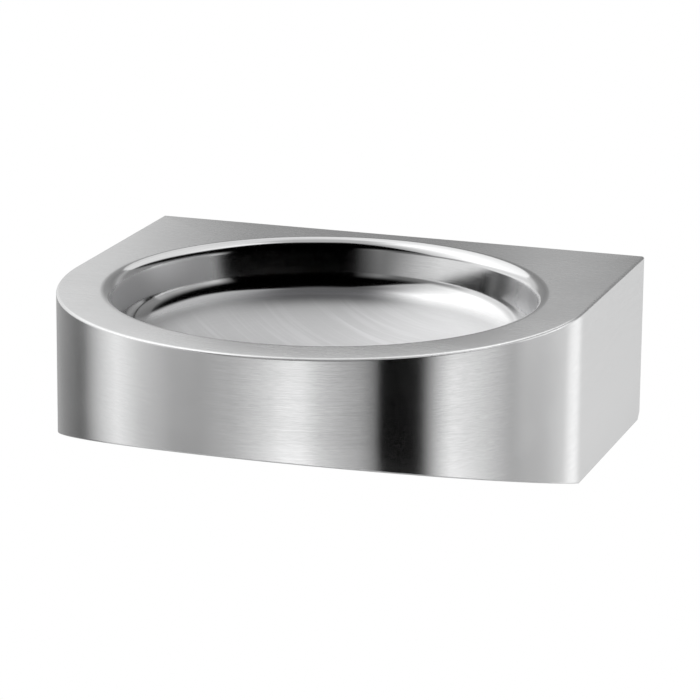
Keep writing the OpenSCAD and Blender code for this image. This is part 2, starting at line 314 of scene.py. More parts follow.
def plated_brass():
    """Bright plating outside, and a duller bore with the bridge in it, its colour painted near black as the
    shade under the strainer.
    """
    brass = mill_steel("plated brass", "plated_brass",
                       (0.66, 0.67, 0.68, 1), (0.74, 0.75, 0.76, 1), roughness=0.12)
    # Painted shade: the bore and the bridge below the strainer are coloured near black
    inside = brass.between(polar(brass.x, brass.y)[0], 19.6, 18.6)
    brass.shade(Base_Color=brass.mix_colour(inside, brass.fed("Base Color"), (0.10, 0.10, 0.10, 1)),
                Roughness=brass.fed("Roughness") + inside * 0.38)
    return brass


def plain_stuff(name, slot_name, low, high, roughness, grain_scale, depth):
    """A rubber, pad or plastic: two close colours, speckled, with a moulded grain."""
    stuff = Finish(name, slot_name)
    speck = stuff.noise(stuff.place, scale=grain_scale, detail=4.0, roughness=0.6)
    cloud = stuff.noise(stuff.place, scale=0.03)
    shade = stuff.between(speck * 0.7 + cloud * 0.3, 0.35, 0.65)
    stuff.shade(Base_Color=stuff.mix_colour(shade, low, high), Roughness=roughness + (shade - 0.5) * 0.15,
                Normal=stuff.bump(depth, speck))
    return stuff


DECK_STEEL = brushed_steel("brushed deck steel", "brushed_steel", deck_grain,
                           roughness=0.24, anisotropy=0.0, depth=0.035).material
SKIRT_STEEL = brushed_steel("brushed skirt steel", "brushed_steel", wall_grain,
                            roughness=0.165, anisotropy=0.975, depth=0.0015).material
BOWL_STEEL = bowl_steel().material
INNER_STEEL = mill_steel("mill finish steel", "inner_steel",
                         (0.42, 0.425, 0.43, 1), (0.55, 0.555, 0.56, 1), roughness=0.36).material
FRAME_STEEL = mill_steel("frame steel", "inner_steel",
                         (0.46, 0.465, 0.47, 1), (0.60, 0.605, 0.61, 1), roughness=0.33).material
FIXING_STEEL = mill_steel("turned steel", "fixings",
                          (0.55, 0.55, 0.55, 1), (0.68, 0.68, 0.68, 1), roughness=0.24).material
PLATED_BRASS = plated_brass().material
GRID_STEEL = mill_steel("strainer steel", "fixings",
                        (0.60, 0.60, 0.61, 1), (0.70, 0.70, 0.71, 1), roughness=0.20).material
BLACK_RUBBER = plain_stuff("black rubber", "black_rubber",
                           (0.018, 0.018, 0.019, 1), (0.035, 0.035, 0.037, 1),
                           roughness=0.62, grain_scale=1.2, depth=0.12).material
PAD_BITUMEN = plain_stuff("sound pad", "pad",
                          (0.045, 0.045, 0.048, 1), (0.085, 0.085, 0.09, 1),
                          roughness=0.8, grain_scale=0.7, depth=0.5).material
WHITE_NYLON = plain_stuff("natural nylon", "nylon",
                          (0.72, 0.71, 0.66, 1), (0.80, 0.79, 0.75, 1),
                          roughness=0.42, grain_scale=0.9, depth=0.05).material


def arc(centre, radius, start, end, steps):
    """Points on a circle, from one angle to another in degrees, both ends included."""
    angles = [math.radians(start + (end - start) * step / steps) for step in range(steps + 1)]
    return [(centre[0] + radius * math.cos(a), centre[1] + radius * math.sin(a)) for a in angles]


def eased(points, radii, steps=4):
    """A closed outline with its corners rounded: a radius of 0 leaves a corner as it is."""
    result = []
    for index, (point, radius) in enumerate(zip(points, radii)):
        here = Vector(point)
        if not radius:
            result.append(tuple(here))
            continue
        before = (Vector(points[index - 1]) - here).normalized()
        after = (Vector(points[(index + 1) % len(points)]) - here).normalized()
        half = before.angle(after) / 2
        centre = here + (before + after).normalized() * (radius / math.sin(half))
        start = here + before * (radius / math.tan(half)) - centre
        end = here + after * (radius / math.tan(half)) - centre
        turn = math.pi - 2 * half
        for step in range(steps + 1):
            share = step / steps
            along = start * math.sin((1 - share) * turn) + end * math.sin(share * turn)
            result.append(tuple(centre + along.normalized() * radius))
    return result


def mesh_object(name, verts, faces):
    """A new object with a mesh of points in millimetres."""
    mesh = bpy.data.meshes.new(name)
    mesh.from_pydata([Vector(v) * MM for v in verts], [], faces)
    obj = bpy.data.objects.new(name, mesh)
    bpy.context.scene.collection.objects.link(obj)
    return obj


@contextmanager
def mesh_of(*objects):
    """The meshes of one or more objects for editing as one, which the first of them keeps."""
    work = bmesh.new()
    for obj in objects:
        work.from_mesh(obj.data)
    yield work
    work.to_mesh(objects[0].data)
    work.free()


def tidy(obj):
    """Merges doubles, turns the faces outwards and shades them smooth up to the sharp edges."""
    with mesh_of(obj) as work:
        bmesh.ops.remove_doubles(work, verts=work.verts, dist=1e-6)
        bmesh.ops.dissolve_degenerate(work, dist=1e-7, edges=work.edges)
        bmesh.ops.recalc_face_normals(work, faces=work.faces)
        for face in work.faces:
            face.smooth = True
    obj.data.set_sharp_from_angle(angle=math.radians(32))


def bake(obj, place=None):
    """Turns an object's modifiers into its plain mesh, and moves the mesh to its place."""
    bpy.context.view_layer.update()
    shape = bpy.data.meshes.new_from_object(obj.evaluated_get(bpy.context.evaluated_depsgraph_get()))
    obj.modifiers.clear()
    obj.data = shape
    if place is not None:
        obj.data.transform(place)
    return obj


def soften_edges(obj, width):
    """Rounds the sharp edges of a pressed or cut piece by a bevel."""
    bevel = obj.modifiers.new("eased edges", "BEVEL")
    bevel.width = width * MM
    bevel.segments = 2
    bevel.limit_method = "ANGLE"
    bevel.angle_limit = math.radians(30)
    return bake(obj)


def cut_out(obj, cutter, place=None):
    """Cuts another object's shape out of a piece, and takes that object away."""
    cut = obj.modifiers.new("cut", "BOOLEAN")
    cut.operation = "DIFFERENCE"
    cut.object = cutter
    bake(obj, place)
    bpy.data.objects.remove(cutter)
    return obj


def joined(obj, *others):
    """Joins other meshes into an object, in its place."""
    with mesh_of(obj, *others):
        pass
    for part in others:
        bpy.data.objects.remove(part)
    return obj


def level_faces(obj):
    """Shades a large face as flat where every neighbour is level with it or turns away from it sharply."""
    with mesh_of(obj) as work:
        for face in work.faces:
            turns = [edge.calc_face_angle(0.0) for edge in face.edges]
            gentle = any(math.radians(0.05) < turn < math.radians(7.8) for turn in turns)
            if face.calc_area() > 15 * MM * MM and not gentle:
                face.smooth = False


def hand_over(obj, finish, body, *nodes):
    """Gives a finished piece its material, body and material slot, and hides the CAD nodes it stands for."""
    tidy(obj)
    level_faces(obj)
    obj.data.materials.clear()
    obj.data.materials.append(finish)
    for face in obj.data.polygons:
        face.material_index = 0
    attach(obj, body)
    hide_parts(*nodes)
    return obj


def loft(rings, closed_ring=True, closed_across=False):
    """Points and faces of a surface through rings that have one number of points each."""
    count = len(rings[0])
    verts = [point for ring in rings for point in ring]
    faces = []
    for ring in range(len(rings) if closed_across else len(rings) - 1):
        here, after = ring * count, (ring + 1) % len(rings) * count
        for point in range(count if closed_ring else count - 1):
            beside = (point + 1) % count
            faces.append((here + point, here + beside, after + beside, after + point))
    return verts, faces


def bent_sheet(name, rings):
    """A sheet bent along a path: each ring runs along one line of its section, and both ends are closed."""
    verts, faces = loft(rings, closed_ring=False, closed_across=True)
    count = len(rings[0])
    faces.append([ring * count for ring in range(len(rings))])
    faces.append([ring * count + count - 1 for ring in reversed(range(len(rings)))])
    return mesh_object(name, verts, faces)


def geometry_tree(name, **inputs):
    """A geometry tree with its inputs, named by the kind of their sockets: its graph and a Wire for each."""
    tree = bpy.data.node_groups.new(name, "GeometryNodeTree")
    tree.is_modifier = True
    inputs = {"Geometry": ["Geometry"], **inputs, "Material": ["Finish"]}
    for kind, labels in inputs.items():
        for label in labels:
            tree.interface.new_socket(name=label, in_out="INPUT", socket_type="NodeSocket" + kind)
    tree.interface.new_socket(name="Geometry", in_out="OUTPUT", socket_type="NodeSocketGeometry")
    graph = Graph(tree)
    start = graph.node("NodeGroupInput")
    return graph, {label: start.output(label) for labels in inputs.values() for label in labels}


def close_tree(graph, shape, finish):
    """Ends a tree in Realize Instances and Set Material."""
    real = graph.node("GeometryNodeRealizeInstances", {"Geometry": shape})
    coated = graph.node("GeometryNodeSetMaterial", {"Geometry": real, "Material": finish})
    graph.node("NodeGroupOutput", {"Geometry": coated})
    return graph.tree


def run_tree(obj, tree, place=None, **values):
    """Runs a tree on an object, its inputs set by their sockets' identifiers, and keeps the plain mesh."""
    modifier = obj.modifiers.new(tree.name, "NODES")
    modifier.node_group = tree
    for item in tree.interface.items_tree:
        label = item.name.replace(" ", "_")
        if item.in_out == "INPUT" and label in values:
            modifier[item.identifier] = values[label]
    return bake(obj, place)


def turning_tree():
    """Turns a line of profile points round the axis: the rule that every turned piece follows."""
    graph, wires = geometry_tree("turned on a lathe", Int=["Profile points", "Steps round"],
                                 Float=["Flats apart", "Bore"])
    count, steps, flats = wires["Profile points"], wires["Steps round"], wires["Flats apart"]
    cloth = graph.node("GeometryNodeMeshGrid", {"Vertices X": steps + 1, "Vertices Y": count})
    index = graph.node("GeometryNodeInputIndex")
    position = graph.node("GeometryNodeInputPosition")
    point = graph.node("GeometryNodeSampleIndex",
                       {"Geometry": wires["Geometry"], "Value": position, "Index": index % count},
                       data_type="FLOAT_VECTOR")
    turn = graph.maths("FLOOR", index / count) / steps * (2 * math.pi)
    # A hexagon's flats cut the radius, except in the bore
    side = math.pi / 3
    off_middle = (turn + side / 2) % side - side / 2
    flat = graph.maths("DIVIDE", flats * 0.5, graph.maths("COSINE", off_middle))
    across = graph.node("ShaderNodeSeparateXYZ", {0: point})
    outside = graph.maths("GREATER_THAN", across, wires["Bore"]) * graph.maths("GREATER_THAN", flats, 0.0)
    radius = across + (graph.maths("MINIMUM", across, flat) - across) * outside
    place = graph.xyz(radius * graph.maths("COSINE", turn), radius * graph.maths("SINE", turn),
                      across.output("Z"))
    bent = graph.node("GeometryNodeSetPosition", {"Geometry": cloth.output("Mesh"), "Position": place})
    merged = graph.node("GeometryNodeMergeByDistance", {"Geometry": bent, "Distance": 1e-6})
    return close_tree(graph, merged, wires["Finish"])


def thread_tree():
    """Winds a ridge round a shank, as a thread."""
    graph, wires = geometry_tree(
        "thread", Float=["Turns", "Length", "Crest radius", "Ridge radius", "Start height"], Int=["Steps"])
    path_r = wires["Crest radius"] - wires["Ridge radius"]
    winding = graph.node("GeometryNodeCurveSpiral", {
        "Resolution": wires["Steps"], "Rotations": wires["Turns"], "Start Radius": path_r,
        "End Radius": path_r, "Height": wires["Length"]})
    ridge = graph.node("GeometryNodeCurvePrimitiveCircle", {"Resolution": 6, "Radius": wires["Ridge radius"]})
    wound = graph.node("GeometryNodeCurveToMesh",
                       {"Curve": winding, "Profile Curve": ridge, "Fill Caps": True})
    lifted = graph.node("GeometryNodeTransform",
                        {"Geometry": wound, "Translation": graph.xyz(0.0, 0.0, wires["Start height"])})
    return close_tree(graph, graph.join(lifted, wires["Geometry"]), wires["Finish"])


def strainer_tree():
    """Cuts two rings of holes through a plate with a cutter, as a strainer's press does."""
    graph, wires = geometry_tree("strainer holes", Object=["Cutter"], Int=["Inner holes", "Outer holes"],
                                 Float=["Inner radius", "Outer radius"])
    cutter = graph.node("GeometryNodeObjectInfo", {"Object": wires["Cutter"]}).output("Geometry")
    points = graph.join(*(graph.node("GeometryNodeMeshCircle",
                                     {"Vertices": wires[ring + " holes"], "Radius": wires[ring + " radius"]})
                          for ring in ("Inner", "Outer")))
    cutters = graph.node("GeometryNodeInstanceOnPoints", {"Points": points, "Instance": cutter})
    real = graph.node("GeometryNodeRealizeInstances", {"Geometry": cutters})
    cut = graph.node("GeometryNodeMeshBoolean", {"Mesh 1": wires["Geometry"], "Mesh 2": real},
                     operation="DIFFERENCE")
    return close_tree(graph, cut, wires["Finish"])


def pair_tree():
    """Sets two like pieces at a distance apart."""
    graph, wires = geometry_tree("pair of fixings", Float=["Apart"])
    line = graph.node("GeometryNodeMeshLine", {
        "Count": 2, "Start Location": graph.xyz(wires["Apart"] * -0.5, 0.0, 0.0),
        "Offset": graph.xyz(wires["Apart"], 0.0, 0.0)})
    two = graph.node("GeometryNodeInstanceOnPoints", {"Points": line, "Instance": wires["Geometry"]})
    return close_tree(graph, two, wires["Finish"])


TURNING = turning_tree()
THREAD = thread_tree()
STRAINER = strainer_tree()
PAIR = pair_tree()


def turned(name, profile, finish, place=None, steps=96, across_flats=0.0, bore=0.0, closed=True):
    """A piece turned from a profile of (radius, height) in millimetres, with a hexagon's flats if given."""
    line = list(profile) + ([profile[0]] if closed else [])
    obj = mesh_object(name, [(r, 0.0, z) for r, z in line], [])
    return run_tree(obj, TURNING, place, Profile_points=len(line), Steps_round=steps,
                    Flats_apart=across_flats * MM, Bore=(bore + 0.01) * MM if bore else 0.0, Finish=finish)


def ring_profile(outer, inner, low, high, ease):
    """The section of a flat ring with eased edges."""
    return eased([(outer, low), (outer, high), (inner, high), (inner, low)], [ease] * 4, 3)


def add_thread(obj, finish, turns, length, crest, ridge, start, steps):
    """Winds a thread on a turned piece that still stands on its own axis."""
    return run_tree(obj, THREAD, Turns=turns, Length=length * MM, Crest_radius=crest * MM,
                    Ridge_radius=ridge * MM, Start_height=start * MM, Steps=steps, Finish=finish)


def threaded_stud(name, radius, length, turns, thread_length, ridge):
    """A stud with a bevelled point: its core below the thread, and the thread wound on it."""
    core = radius - 0.45
    profile = [(0.0, 0.0), (core, 0.0), (core, length - 1.2), (core - 0.8, length), (0.0, length)]
    stud = turned(name, profile, FIXING_STEEL, steps=32, closed=False)
    return add_thread(stud, FIXING_STEEL, turns, thread_length, radius, ridge, start=0.6, steps=28)


def plain_washer(name, outer, inner, place=None):
    """A flat washer of 1.6 mm that stands at the foot of its own axis."""
    return turned(name, ring_profile(outer, inner, 0.0, 1.6, 0.25), FIXING_STEEL, place, steps=64)


def hexagon_nut(name, finish, place, across, bore, low, high, chamfer, steps=72):
    """A nut whose corners are turned off at both ends, with its bore's mouths opened."""
    corner_r = across / 2 / math.cos(math.radians(30))
    rise = chamfer / 2
    side = [(corner_r, low + rise + (high - low - 2 * rise) * k / 6) for k in range(7)]
    profile = [(corner_r - chamfer, low), *side, (corner_r - chamfer, high), (bore + 0.5, high),
               (bore, high - 0.5), (bore, low + 0.5), (bore + 0.5, low)]
    return turned(name, profile, finish, place, steps=steps, across_flats=across, bore=bore)


# Plan of the basin: stations from the left rear corner round the front to the right rear corner

FRONT_STEPS = 288
REAR_STEPS = 64
SIDE_STEPS = [0.0, 0.5, 1.0, 2.0, 3.0, 4.0, 5.0, 6.0, 10.0, 20.0, 40.0, 60.0, 80.0, 100.0, 120.0, 140.0,
              160.0, 172.0]


def plan_stations(inset, rear_inset=0.0):
    """The outline from one rear corner to the other, moved in by an amount at the sides and the rear."""
    reach = HALF_W - inset
    left = [(-reach, -max(y, rear_inset)) for y in SIDE_STEPS]
    turns = [math.pi * k / FRONT_STEPS for k in range(FRONT_STEPS + 1)]
    front = [(-reach * math.cos(turn), -STRAIGHT - reach * math.sin(turn)) for turn in turns]
    right = [(-x, y) for x, y in reversed(left)]
    return left + front + right


def rear_stations(inset, rear_inset):
    """Points along the straight rear edge, from the right corner back to the left one."""
    reach = HALF_W - inset
    return [(reach - 2 * reach * k / REAR_STEPS, -rear_inset) for k in range(1, REAR_STEPS)]


def underside(y):
    """Height of the basin's lower edge at a place in front of the wall."""
    slope = (BODY_H - FRONT_H) / HALF_W
    height = -BODY_H + slope * max(0.0, -y - STRAIGHT)
    return max(height, -BODY_H + REAR_BEVEL + y)


def make_deck():
    """The flat D with the bowl's opening, its front and sides ground round and its rear edge just broken."""
    rear_r = 0.3
    levels = []
    for step in range(10):
        angle = math.acos(max(0.0, 1 - SHEET / DRESSED_R)) * step / 9
        levels.append((DRESSED_R * (1 - math.sin(angle)), -DRESSED_R * (1 - math.cos(angle))))
    rings = []
    for inset, z in levels:
        rear = rear_r - math.sqrt(max(0.0, rear_r ** 2 - max(0.0, rear_r + z) ** 2))
        rings.append([(x, y, DECK_Z + z) for x, y in plan_stations(inset, rear) + rear_stations(inset, rear)])
    directions = [Vector((x, y + STRAIGHT)).normalized() for x, y, z in rings[0]]
    hole = [(d.x * EDGE_R, d.y * EDGE_R - STRAIGHT) for d in directions]
    top = [(x, y, DECK_Z) for x, y in hole]
    below = [(x, y, DECK_Z - SHEET) for x, y in hole]
    verts, faces = loft([top, *rings, below], closed_across=True)
    return hand_over(mesh_object("deck_top", verts, faces), DECK_STEEL, "basin", "deck_plate")


def make_skirt():
    """The bent sheet round the sides and front, ground into the deck above and eased at its foot."""
    rings = []
    lower = [underside(y) for x, y in plan_stations(0.0)]

    def add_ring(inset, height_of):
        rings.append([(x, y, DECK_Z + height_of(low)) for low, (x, y) in zip(lower, plan_stations(inset))])

    for step in range(5):
        angle = math.asin((DRESSED_R - SHEET) / DRESSED_R) * (1 - step / 4)
        add_ring(DRESSED_R * (1 - math.cos(angle)), lambda low: -DRESSED_R * (1 - math.sin(angle)))
    for share in (0.25, 0.5, 0.75):
        add_ring(0.0, lambda low: -DRESSED_R + (low + FOOT_R + DRESSED_R) * share)
    for step in range(7):
        angle = math.radians(90 * step / 6)
        add_ring(FOOT_R * (1 - math.cos(angle)), lambda low: low + FOOT_R * (1 - math.sin(angle)))
    add_ring(SHEET, lambda low: low)
    for share in (0.25, 0.5, 0.75, 1.0):
        add_ring(SHEET, lambda low: low + (-SHEET - low) * share)
    return hand_over(bent_sheet("skirt_sheet", rings), SKIRT_STEEL, "basin", "skirt")


def make_return():
    """The strip folded in along the skirt's foot."""
    stations = [k for k, (_, y) in enumerate(plan_stations(0.0)) if y <= -REAR_BEVEL]
    rings = []
    section = [(0.0, 0.0), (RETURN_W, 0.0), (RETURN_W, SHEET), (0.0, SHEET)]
    for inset, drop in eased(section, [0, 0.7, 0.7, 0]):
        plan = plan_stations(SHEET + inset)
        rings.append([(plan[k][0], plan[k][1], DECK_Z + underside(plan[k][1]) + drop) for k in stations])
    return hand_over(bent_sheet("folded_return", rings), INNER_STEEL, "basin", "bottom_return")


def bowl_section():
    """The bowl's outline, down inside to its outlet and back up outside, and its dish's centre and radius."""
    out = Vector((math.cos(WALL_LEAN), -math.sin(WALL_LEAN)))
    down = Vector((-math.sin(WALL_LEAN), -math.cos(WALL_LEAN)))
    roll_c = Vector((EDGE_R, -ROLL_R))
    wall_top = roll_c - ROLL_R * out
    dish_r = (wall_top.x ** 2 + DISH_RISE ** 2) / (2 * DISH_RISE)
    dish_c = Vector((0.0, dish_r - BOWL_DEPTH))
    start = wall_top - CORNER_R * out - dish_c
    along = start.dot(down)
    drop = math.sqrt(along ** 2 - start.dot(start) + (dish_r - CORNER_R) ** 2) - along
    corner_c = dish_c + start + drop * down
    dish_out = (corner_c - dish_c).normalized()
    foot = math.degrees(math.atan2(dish_out.y, dish_out.x))
    lean = math.degrees(WALL_LEAN)

    def dish_at(radius, grow):
        return -90 + math.degrees(math.asin(radius / (dish_r + grow)))

    seat = dish_at(SEAT_R, 0)
    lip_z = arc(dish_c, dish_r, seat, seat, 1)[0][1]
    seat_z = lip_z - SEAT_DROP
    under_z = seat_z - BOWL_T
    outer_r = SEAT_R + BOWL_T
    return [
        *arc(roll_c, ROLL_R, 90, 180 - lean, 28),
        *arc(corner_c, CORNER_R, -lean, foot, 32),
        *arc(dish_c, dish_r, foot, seat + 0.35, 48)[1:],
        (SEAT_R + 0.9, lip_z - 0.05), (SEAT_R + 0.3, lip_z - 0.35), (SEAT_R, lip_z - 1.1),
        (SEAT_R, seat_z + 0.8), (SEAT_R - 0.25, seat_z + 0.25), (SEAT_R - 0.8, seat_z),
        (OUTLET_R + 0.3, seat_z), (OUTLET_R, seat_z - 0.3), (OUTLET_R, under_z + 0.3),
        (OUTLET_R + 0.3, under_z), (outer_r - 1.2, under_z), (outer_r - 0.35, under_z + 0.35),
        (outer_r, seat_z),
        *arc(dish_c, dish_r + BOWL_T, dish_at(outer_r, BOWL_T), foot, 40),
        *arc(corner_c, CORNER_R + BOWL_T, foot, -lean, 24),
        *arc(roll_c, ROLL_R - BOWL_T, 180 - lean, 90, 20),
    ], dish_c, dish_r


def make_bowl():
    """The spun bowl, with its rolled edge and the seat round its outlet."""
    bowl = turned("spun_bowl", bowl_section()[0], BOWL_STEEL, BOWL_AXIS, steps=288)
    return hand_over(bowl, BOWL_STEEL, "basin", "bowl")


def make_pad():
    """The sound pad, pressed on under the dish, with its lower edges eased."""
    dish_c, dish_r = bowl_section()[1:]
    low = dish_r + BOWL_T + 0.1
    high = low + PAD_T
    profile = []
    for radius, first, last in ((low, PAD_NEAR, PAD_FAR), (high, PAD_FAR, PAD_NEAR)):
        for step in range(21):
            reach = first + (last - first) * step / 20
            ease = 0.8 if step in (0, 20) and radius == high else 0.0
            angle = -math.acos(reach / radius)
            profile.append(((radius - ease) * math.cos(angle), dish_c.y + (radius - ease) * math.sin(angle)))
    pad = turned("sound_deadening_pad", profile, PAD_BITUMEN, BOWL_AXIS, steps=144)
    return hand_over(pad, PAD_BITUMEN, "basin", "sound_pad")


# Heights of the waste's parts, above the deck's top

FLANGE_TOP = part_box("waste_body")[1].z / MM - DECK_Z
TAIL_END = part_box("waste_body")[0].z / MM - DECK_Z
FLANGE_Z = FLANGE_TOP - 2.5
GRID_SEAT = FLANGE_TOP - GRID_T


def box_heights(node):
    """Lowest and highest height of a node, above the deck's top."""
    low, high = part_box(node)
    return low.z / MM - DECK_Z, high.z / MM - DECK_Z


def box_shape(size, middle):
    """Points and faces of a block."""
    signs = [(x, y, z) for z in (-1, 1) for x, y in ((-1, -1), (1, -1), (1, 1), (-1, 1))]
    verts = [[m + s * w / 2 for m, s, w in zip(middle, sign, size)] for sign in signs]
    return verts, [(0, 3, 2, 1), (4, 5, 6, 7), (0, 1, 5, 4), (1, 2, 6, 5), (2, 3, 7, 6), (3, 0, 4, 7)]


def make_waste():
    """The plated waste: flange, bridge and a tail threaded for the nut above and for the trap below."""
    relief_top = box_heights("backnut")[0]
    relief_low = relief_top - 3.0
    core_r = TAIL_R - 0.9
    profile = eased([
        (TAIL_BORE, TAIL_END), (core_r, TAIL_END), (core_r, FLANGE_Z), (FLANGE_R, FLANGE_Z),
        (FLANGE_R, FLANGE_TOP), (GRID_R + 0.2, FLANGE_TOP), (GRID_R + 0.2, GRID_SEAT), (TAIL_BORE, GRID_SEAT),
    ], [0.5, 0.6, 0.2, 0.4, 1.1, 0.3, 0.1, 0.4])
    body = turned("waste_tail", profile, PLATED_BRASS)
    pitch = 2.309
    ridge = 0.95
    for low, high in ((relief_top, FLANGE_Z), (TAIL_END, relief_low)):
        length = high - low - 2 * ridge
        add_thread(body, PLATED_BRASS, length / pitch, length, TAIL_R, ridge, low + ridge, steps=64)
    bridge_h = 9.0
    bars = []
    for turn in (0, 90):
        bar_size = (2 * (TAIL_BORE + 0.6), 3.0, bridge_h)
        bar = mesh_object("bridge_bar", *box_shape(bar_size, (0, 0, GRID_SEAT - bridge_h / 2)))
        soften_edges(bar, 0.5)
        bar.data.transform(Matrix.Rotation(math.radians(turn), 4, "Z"))
        bars.append(bar)
    boss = turned("bridge_boss", ring_profile(5.0, 2.6, GRID_SEAT - bridge_h, GRID_SEAT, 0.4), PLATED_BRASS)
    joined(body, *bars, boss)
    body.data.transform(BOWL_AXIS)
    return hand_over(body, PLATED_BRASS, "basin", "waste_body")


def make_strainer():
    """The strainer plate, whose holes open out at its top."""
    top = FLANGE_TOP
    plate = turned("strainer_plate", ring_profile(GRID_R, 2.7, GRID_SEAT, top, 0.25), GRID_STEEL, steps=144)
    hole_r, mouth_r = 2.2, 2.65
    cutter_profile = [(0.0, GRID_SEAT - 1.0), (hole_r, GRID_SEAT - 1.0), (hole_r, top - 0.35),
                      (mouth_r, top + 0.1), (mouth_r, top + 1.0), (0.0, top + 1.0)]
    cutter = turned("strainer_cutter", cutter_profile, GRID_STEEL, steps=32, closed=False)
    tidy(cutter)
    tidy(plate)
    run_tree(plate, STRAINER, BOWL_AXIS, Cutter=cutter, Inner_holes=6, Inner_radius=GRID_R * 0.4 * MM,
             Outer_holes=12, Outer_radius=GRID_R * 0.74 * MM, Finish=GRID_STEEL)
    bpy.data.objects.remove(cutter)
    return hand_over(plate, GRID_STEEL, "basin", "waste_grid")


def make_screw():
    """The screw that holds the strainer, with a socket for a hexagon key."""
    top = FLANGE_TOP
    shank_r, head_r, key_r = 2.2, 4.4, 1.7
    profile = eased([(0.0, top - 11.0), (shank_r, top - 11.0), (shank_r, top), (head_r, top),
                     (head_r, top + 1.6), (0.0, top + 1.6)], [0, 0.4, 0, 0.2, 0.7, 0])
    screw = turned("strainer_screw", profile, FIXING_STEEL, steps=48, closed=False)
    add_thread(screw, FIXING_STEEL, turns=9.0, length=9.0, crest=2.5, ridge=0.3, start=top - 10.5,
               steps=24)
    key = [(0.0, top + 0.8), (key_r, top + 0.8), (key_r, top + 3.0), (0.0, top + 3.0)]
    socket = turned("key_socket", key, FIXING_STEEL, steps=24, across_flats=2.95, closed=False)
    tidy(socket)
    cut_out(screw, socket, BOWL_AXIS)
    return hand_over(screw, FIXING_STEEL, "basin", "grid_screw")


def make_seals():
    """The rings that seal and clamp the waste, and its backnut."""
    for name, node, finish, outer, inner, ease in (
        ("flange_seal", "flange_gasket", BLACK_RUBBER, FLANGE_R - 1, OUTLET_R, 0.4),
        ("lower_seal", "rubber_washer", BLACK_RUBBER, FLANGE_R + 1, TAIL_R + 0.2, 0.6),
        ("slip_ring", "slip_washer", WHITE_NYLON, FLANGE_R - 1, TAIL_R + 0.2, 0.4),
    ):
        low, high = box_heights(node)
        ring = turned(name, ring_profile(outer, inner, low, high, ease), finish, BOWL_AXIS, steps=144)
        hand_over(ring, finish, "basin", node)
    low, high = box_heights("backnut")
    nut = hexagon_nut("waste_backnut", PLATED_BRASS, BOWL_AXIS, across=2 * (TAIL_R + 4.8),
                      bore=TAIL_R + 0.05, low=low, high=high, chamfer=1.6, steps=144)
    return hand_over(nut, PLATED_BRASS, "basin", "backnut")


def angle_section(leg_a, leg_b, thickness):
    """A bent angle's outline: one leg along the first axis, the other down the second."""
    bend = 1.0
    middle = (bend + thickness, -bend - thickness)
    return [(leg_a, 0.0), *arc(middle, bend + thickness, 90, 180, 8), (0.0, -leg_b), (thickness, -leg_b),
            *arc(middle, bend, 180, 90, 6), (leg_a, -thickness)]


def extruded(name, outline, first, last, to_place):
    """A section pushed from one place to another: to_place turns (a, b, along) into X, Y and Z."""
    count = len(outline)
    verts, faces = loft([[to_place(a, b, along) for a, b in outline] for along in (first, last)])
    obj = mesh_object(name, verts, [*faces, list(range(count)), list(range(count, 2 * count))[::-1]])
    tidy(obj)
    return obj


def make_rail():
    """The angle under the deck's rear that hangs on the frame."""
    width = HALF_W - SHEET
    rail = extruded("hanging_rail", angle_section(RAIL_LEDGE, RAIL_DROP - SHEET, PLATE), -width, width,
                    lambda a, b, x: (x, HANG_Y - a, DECK_Z - SHEET + b))
    soften_edges(rail, 0.25)
    return hand_over(rail, INNER_STEEL, "basin", "rear_rail")


def flat_plate(name, outlines, thickness):
    """A plate in X and Z with holes, its first outline being its edge, from y = 0 towards the front."""
    loops = [[Vector((x, 0.0, z)) for x, z in outline] for outline in outlines]
    points = [point for loop in loops for point in loop]
    faces = [tuple(face) for face in geometry.tessellate_polygon(loops)]
    count = len(points)
    verts = [tuple(p) for p in points] + [(p.x, -thickness, p.z) for p in points]
    sides = []
    start = 0
    for loop in loops:
        size = len(loop)
        for k in range(size):
            a, b = start + k, start + (k + 1) % size
            sides.append((a, b, b + count, a + count))
        start += size
    back = [tuple(index + count for index in reversed(face)) for face in faces]
    obj = mesh_object(name, verts, faces + back + sides)
    tidy(obj)
    # The triangles of the flat faces are joined, so that only real edges are eased
    with mesh_of(obj) as work:
        bmesh.ops.dissolve_limit(work, angle_limit=0.02, verts=work.verts, edges=work.edges)
    return obj


def rounded_outline(size, radius):
    """A rectangle's outline about the origin, with round corners."""
    x, z = size[0] / 2 - radius, size[1] / 2 - radius
    points = []
    for cx, cz, start in ((x, z, 0), (-x, z, 90), (-x, -z, 180), (x, -z, 270)):
        points += arc((cx, cz), radius, start, start + 90, 8)
    return points


def make_frame():
    """The wall plate with its pipe window and four fixing holes, and the two hooks bent out of its top."""
    outlines = [rounded_outline(FRAME_SIZE, 6.0), rounded_outline(WINDOW_SIZE, 8.0)]
    for x, z in ((-HOLE_X, -HOLE_Z), (-HOLE_X, HOLE_Z), (HOLE_X, -HOLE_Z), (HOLE_X, HOLE_Z)):
        outlines.append(arc((x, z), HOLE_R, 0, 360, 40)[:-1])
    plate = flat_plate("wall_plate", outlines, PLATE)
    soften_edges(plate, 0.3)
    hooks = []
    lip_y = HANG_Y - PLATE - 0.8
    for side in (-1, 1):
        # The angle stands upside down: its long leg is the ledge and its other leg the lip
        hook = extruded("hook", angle_section(-lip_y + PLATE, HOOK_LIP + PLATE, PLATE),
                        side * HOOK_X - HOOK_W / 2, side * HOOK_X + HOOK_W / 2,
                        lambda a, b, x: (x, lip_y - PLATE + a, HOOK_TOP - PLATE - b))
        soften_edges(hook, 0.3)
        hooks.append(hook)
    joined(plate, *hooks)
    return hand_over(plate, FRAME_STEEL, "frame", "wall_frame")


